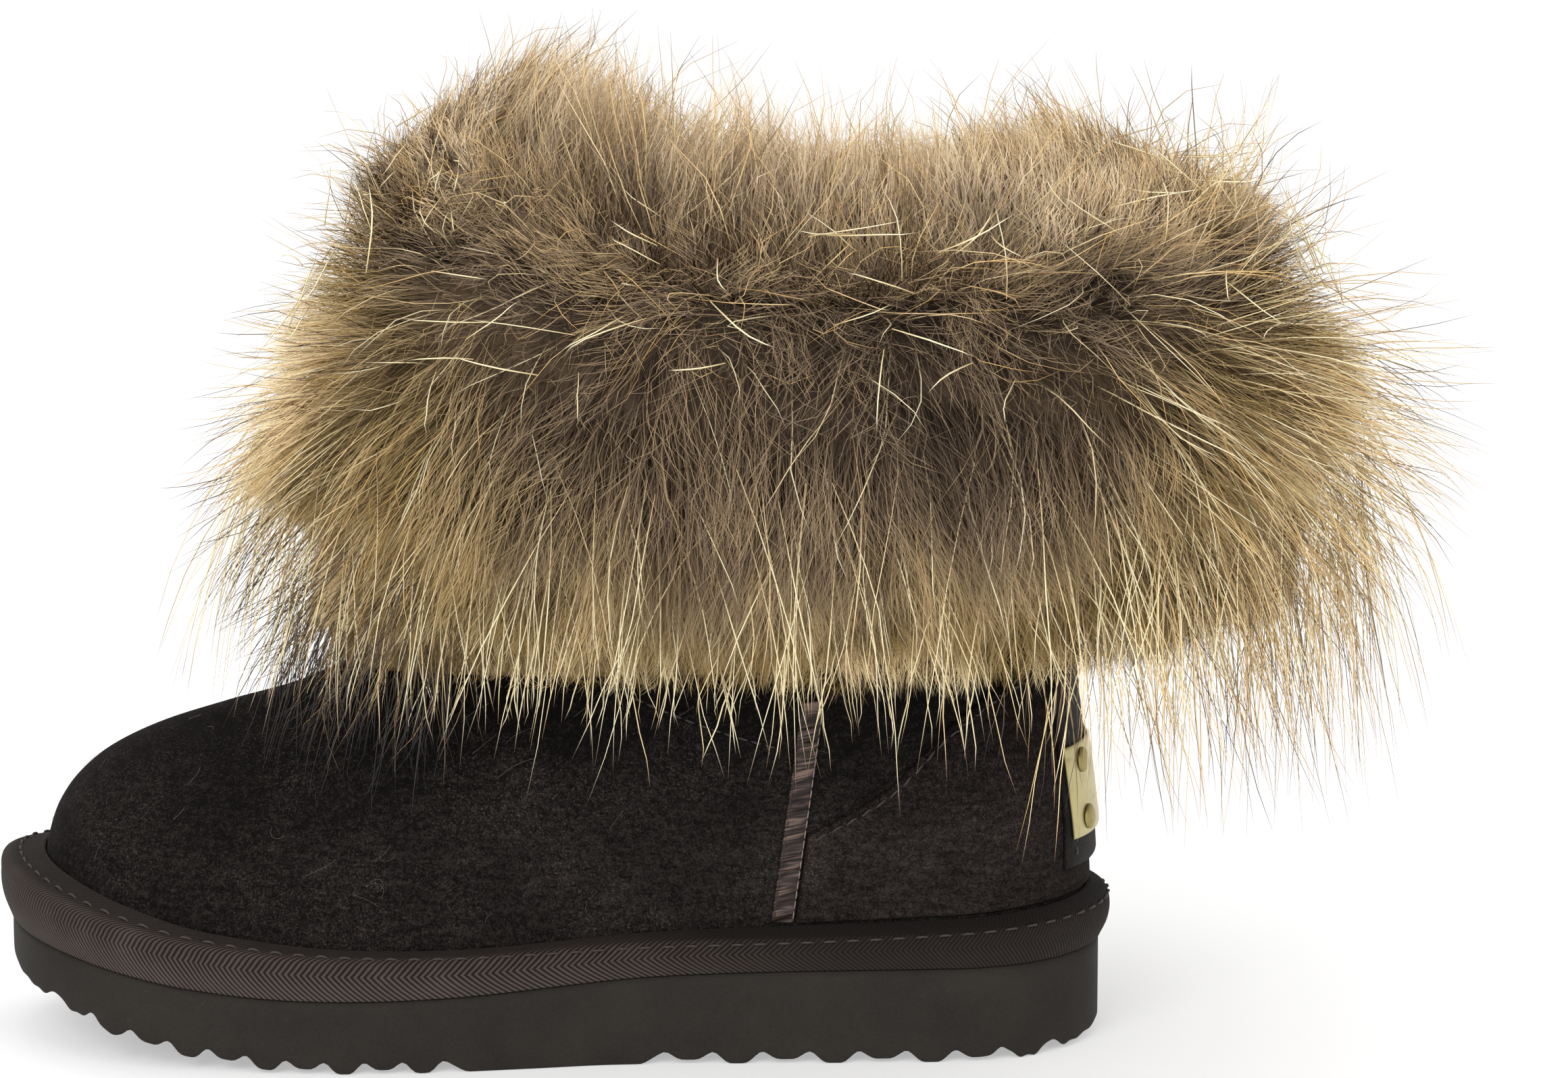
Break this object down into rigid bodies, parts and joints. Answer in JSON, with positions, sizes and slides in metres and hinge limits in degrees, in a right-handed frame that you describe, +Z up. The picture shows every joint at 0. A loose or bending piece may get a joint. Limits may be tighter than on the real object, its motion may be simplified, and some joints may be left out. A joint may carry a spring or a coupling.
{
  "type": "winter ankle boot",
  "caption": "Slip-on winter ankle boot, left foot: hollow suede upper with a deep fur cuff, twill welt tape, raised heel counter and patch, on a foam sole with wave lugs.",
  "frame": {"origin": "on the floor, on the flat patch under the waist of the sole, about the middle of its length", "axes": "+X towards the heel, -X towards the toe, -Y towards the outer side of the foot, +Z up"},
  "size_m": [0.353, 0.2365, 0.2394],
  "materials": {
    "sole_foam": "matte moulded foam",
    "twill_tape": "herringbone twill binding",
    "suede": "very dark brown suede with a short nap",
    "fleece": "short curled fleece",
    "ribbon": "gathered satin ribbon",
    "patch_leather": "smooth dark leather",
    "plate_brass": "pale aged brass, bare",
    "rivet_brass": "dark aged brass",
    "fur": "long fur, dark grey-brown at the root, tan and cream at the tips"
  },
  "bodies": {
    "root": {"outsole": "sole_foam", "welt_tape": "twill_tape", "upper": "suede", "insole": "fleece", "heel_counter": "suede", "side_ribbon_lateral": "ribbon", "side_ribbon_medial": "ribbon", "heel_patch": "patch_leather", "badge_plate": "plate_brass", "rivet_1": "rivet_brass", "rivet_2": "rivet_brass", "rivet_3": "rivet_brass", "rivet_4": "rivet_brass", "fur_cuff": "fur"}
  },
  "joints": []
}
